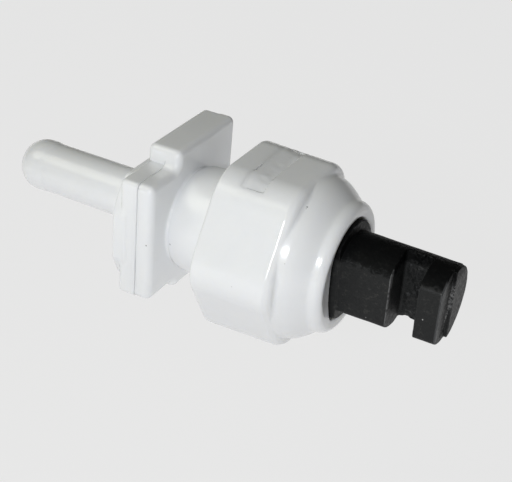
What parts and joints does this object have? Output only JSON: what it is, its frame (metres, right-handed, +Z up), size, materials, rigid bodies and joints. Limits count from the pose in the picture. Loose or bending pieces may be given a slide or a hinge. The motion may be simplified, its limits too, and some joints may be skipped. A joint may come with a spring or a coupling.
{
  "type": "float valve",
  "caption": "Small float valve cartridge: round hose spigot, keyed square flange, clipped hexagonal guide cap and a sliding plunger with a slotted D-shaped stem.",
  "frame": {"origin": "on the valve axis, in the flat rear face of the round seating pad behind the flange", "axes": "+X along the valve axis from the hose spigot towards the plunger stem, +Z up with the wider key of the flange on top, +Y the side the plunger's flat turns away from"},
  "size_m": [0.0608, 0.0238, 0.022],
  "materials": {
    "white_plastic": "milky white acetal moulding, soft gloss",
    "black_plastic": "charcoal moulding, scuffed satin",
    "seal_rubber": "matt black rubber",
    "nozzle_brass": "turned"
  },
  "bodies": {
    "valve": {"inlet_body": "white_plastic", "valve_body": "white_plastic", "body_oring": "seal_rubber", "seat_nozzle": "nozzle_brass", "guide_cap": "white_plastic"},
    "plunger": {"plunger": "black_plastic", "seal_disc": "seal_rubber"}
  },
  "joints": [
    {"name": "plunger_slide", "type": "slide", "parent": "valve", "child": "plunger", "axis": [1, 0, 0], "range_m": [0, 0.0025]}
  ]
}
